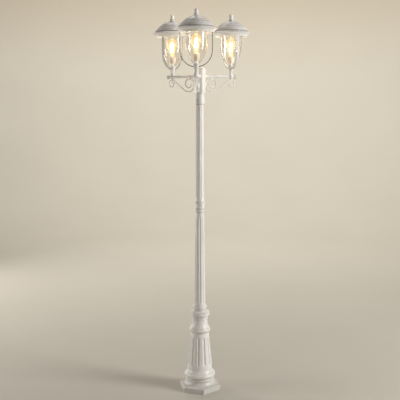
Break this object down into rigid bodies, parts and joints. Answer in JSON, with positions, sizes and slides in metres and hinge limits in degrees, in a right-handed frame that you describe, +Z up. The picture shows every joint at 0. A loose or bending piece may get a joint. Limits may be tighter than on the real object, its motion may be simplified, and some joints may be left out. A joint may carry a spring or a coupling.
{
  "type": "lamp post",
  "caption": "Free-standing garden lamp post with lanterns on scrolled arms, fluted tapered columns and a bell-shaped cast base on a hexagonal foot.",
  "frame": {"origin": "post's axis at the ground, the centre of the circle of anchor holes", "axes": "+Z up along the post, -Y along the front arm, +X to the right seen from the front"},
  "size_m": [0.6034, 0.5552, 2.3164],
  "materials": {
    "white_paint": "satin powder coat",
    "screw_steel": "brushed",
    "grommet_rubber": "matt",
    "lead_sheath": "matt",
    "block_plastic": "matt",
    "holder_plastic": "matt",
    "cap_brass": "plated",
    "lantern_glass": "clear",
    "bulb_amber": "clear amber",
    "filament_glow": "lit filament",
    "reflector_white": "gloss"
  },
  "bodies": {
    "post": {"base_casting": "white_paint", "base_collar": "white_paint", "set_screws": "screw_steel", "lower_post": "white_paint", "cable_grommet": "grommet_rubber", "post_collar": "white_paint", "upper_post": "white_paint", "hub_casting": "white_paint", "hub_cap": "white_paint", "terminal_block": "block_plastic", "lamp_leads": "lead_sheath", "scroll_clips": "white_paint", "front_arm": "white_paint", "front_arm_knob": "white_paint", "front_scroll": "white_paint", "front_stem": "white_paint", "front_yoke": "white_paint", "front_gallery": "white_paint", "front_glass": "lantern_glass", "front_lampholder": "holder_plastic", "left_arm": "white_paint", "left_arm_knob": "white_paint", "left_scroll": "white_paint", "left_stem": "white_paint", "left_yoke": "white_paint", "left_gallery": "white_paint", "left_glass": "lantern_glass", "left_lampholder": "holder_plastic", "right_arm": "white_paint", "right_arm_knob": "white_paint", "right_scroll": "white_paint", "right_stem": "white_paint", "right_yoke": "white_paint", "right_gallery": "white_paint", "right_glass": "lantern_glass", "right_lampholder": "holder_plastic"},
    "front_bulb": {"front_bulb_cap": "cap_brass", "front_bulb_glass": "bulb_amber", "front_filament": "filament_glow"},
    "left_bulb": {"left_bulb_cap": "cap_brass", "left_bulb_glass": "bulb_amber", "left_filament": "filament_glow"},
    "right_bulb": {"right_bulb_cap": "cap_brass", "right_bulb_glass": "bulb_amber", "right_filament": "filament_glow"},
    "front_top": {"front_roof": "white_paint", "front_reflector": "reflector_white", "front_reflector_nut": "screw_steel", "front_roof_screws": "screw_steel"},
    "left_top": {"left_roof": "white_paint", "left_reflector": "reflector_white", "left_reflector_nut": "screw_steel", "left_roof_screws": "screw_steel"},
    "right_top": {"right_roof": "white_paint", "right_reflector": "reflector_white", "right_reflector_nut": "screw_steel", "right_roof_screws": "screw_steel"},
    "front_knob": {"front_finial": "white_paint"},
    "left_knob": {"left_finial": "white_paint"},
    "right_knob": {"right_finial": "white_paint"}
  },
  "joints": [
    {"name": "front_bulb_turn", "type": "hinge", "parent": "post", "child": "front_bulb", "pos_m": [0, -0.208, 2.05], "axis": [0, 0, 1], "range_deg": [0, 720]},
    {"name": "left_bulb_turn", "type": "hinge", "parent": "post", "child": "left_bulb", "pos_m": [-0.18013, 0.104, 2.05], "axis": [0, 0, 1], "range_deg": [0, 720]},
    {"name": "right_bulb_turn", "type": "hinge", "parent": "post", "child": "right_bulb", "pos_m": [0.18013, 0.104, 2.05], "axis": [0, 0, 1], "range_deg": [0, 720]},
    {"name": "front_top_lift", "type": "slide", "parent": "post", "child": "front_top", "axis": [0, 0, 1], "range_m": [0, 0.12]},
    {"name": "left_top_lift", "type": "slide", "parent": "post", "child": "left_top", "axis": [0, 0, 1], "range_m": [0, 0.12]},
    {"name": "right_top_lift", "type": "slide", "parent": "post", "child": "right_top", "axis": [0, 0, 1], "range_m": [0, 0.12]},
    {"name": "front_knob_turn", "type": "hinge", "parent": "front_top", "child": "front_knob", "pos_m": [0, -0.208, 2.3], "axis": [0, 0, 1], "range_deg": [0, 1080]},
    {"name": "left_knob_turn", "type": "hinge", "parent": "left_top", "child": "left_knob", "pos_m": [-0.18013, 0.104, 2.3], "axis": [0, 0, 1], "range_deg": [0, 1080]},
    {"name": "right_knob_turn", "type": "hinge", "parent": "right_top", "child": "right_knob", "pos_m": [0.18013, 0.104, 2.3], "axis": [0, 0, 1], "range_deg": [0, 1080]}
  ]
}
